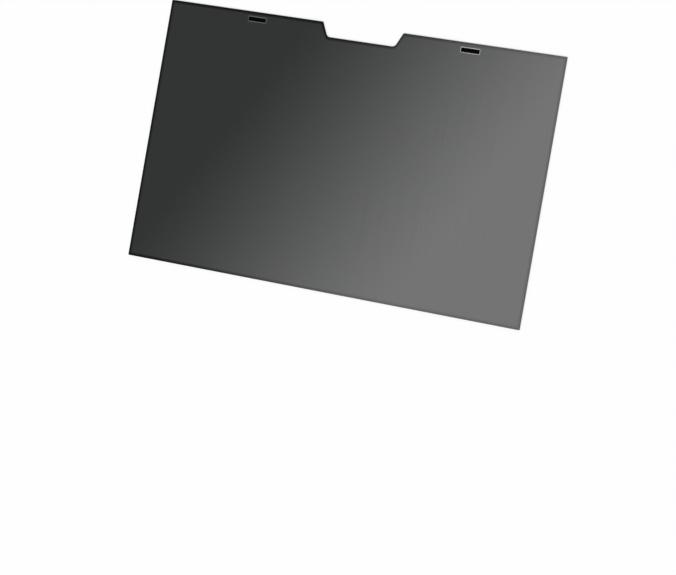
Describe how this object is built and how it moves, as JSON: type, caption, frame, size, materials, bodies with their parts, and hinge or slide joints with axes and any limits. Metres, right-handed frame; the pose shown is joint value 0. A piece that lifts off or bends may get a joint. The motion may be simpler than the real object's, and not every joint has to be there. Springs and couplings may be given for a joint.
{
  "type": "laptop privacy filter",
  "caption": "Thin rectangular sheet of dark see-through louvred film with a slant-sided camera notch in its top edge and small black bar magnets let in either side of it.",
  "frame": {"origin": "middle of the film's back face, which lies on the surface it rests on", "axes": "+X to the right as seen from the front, +Y to the notched top edge, +Z out of the front face"},
  "size_m": [0.382, 0.215, 0.0007],
  "materials": {
    "film": "dark grey see-through film, matt front and smooth back",
    "magnet_coating": "dead black coating, matt"
  },
  "bodies": {
    "root": {"filter_film": "film", "left_magnet": "magnet_coating", "right_magnet": "magnet_coating"}
  },
  "joints": []
}
